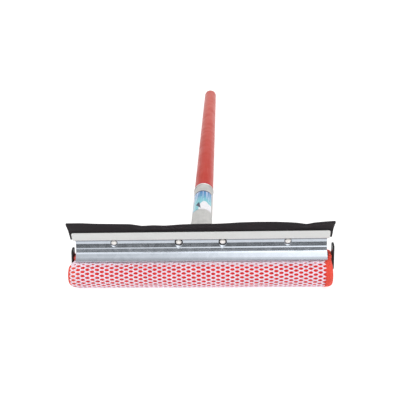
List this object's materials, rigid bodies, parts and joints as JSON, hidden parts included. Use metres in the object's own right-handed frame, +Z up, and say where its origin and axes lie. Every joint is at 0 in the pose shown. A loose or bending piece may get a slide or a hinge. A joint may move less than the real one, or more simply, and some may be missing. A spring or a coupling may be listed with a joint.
{
  "type": "window cleaning squeegee",
  "caption": "Long-handled squeegee for windscreens and windows: a rubber blade above and a net-covered foam scrubber roll below, clamped in a riveted sheet-metal head on a round wooden handle.",
  "frame": {"origin": "on the table, under the middle of the whole tool's box", "axes": "+X runs along the blade, +Y along the handle away from the head, +Z is up; the tool lies on its roll and the handle's free end, with the blade up"},
  "size_m": [0.2562, 0.5964, 0.0705],
  "materials": {
    "painted_wood": "brick red gloss paint on turned hardwood, slightly streaky and worn at the end",
    "zinc_sheet": "light grey galvanised sheet with a soft spangle",
    "label_vinyl": "printed blue and white vinyl sticker, no lettering",
    "nail_steel": "bright steel nail",
    "galvanised_sheet": "bright galvanised sheet, glossy on the bends",
    "satin_strip": "pale satin rolled strip",
    "black_rubber": "matt black rubber",
    "rivet_metal": "bright domed rivet",
    "black_plastic": "moulded black plastic",
    "red_foam": "open-cell red foam",
    "white_net": "white knitted polyester net with staggered oval holes"
  },
  "bodies": {
    "root": {"handle": "painted_wood", "ferrule": "zinc_sheet", "label": "label_vinyl", "ferrule_nails": "nail_steel", "front_jaw": "galvanised_sheet", "rear_jaw": "galvanised_sheet", "blade_channel": "satin_strip", "rubber_blade": "black_rubber", "inner_rivets": "rivet_metal", "outer_rivets": "rivet_metal", "end_cap_left": "black_plastic", "end_cap_right": "black_plastic", "sponge_core": "red_foam", "net_cover": "white_net"}
  },
  "joints": []
}
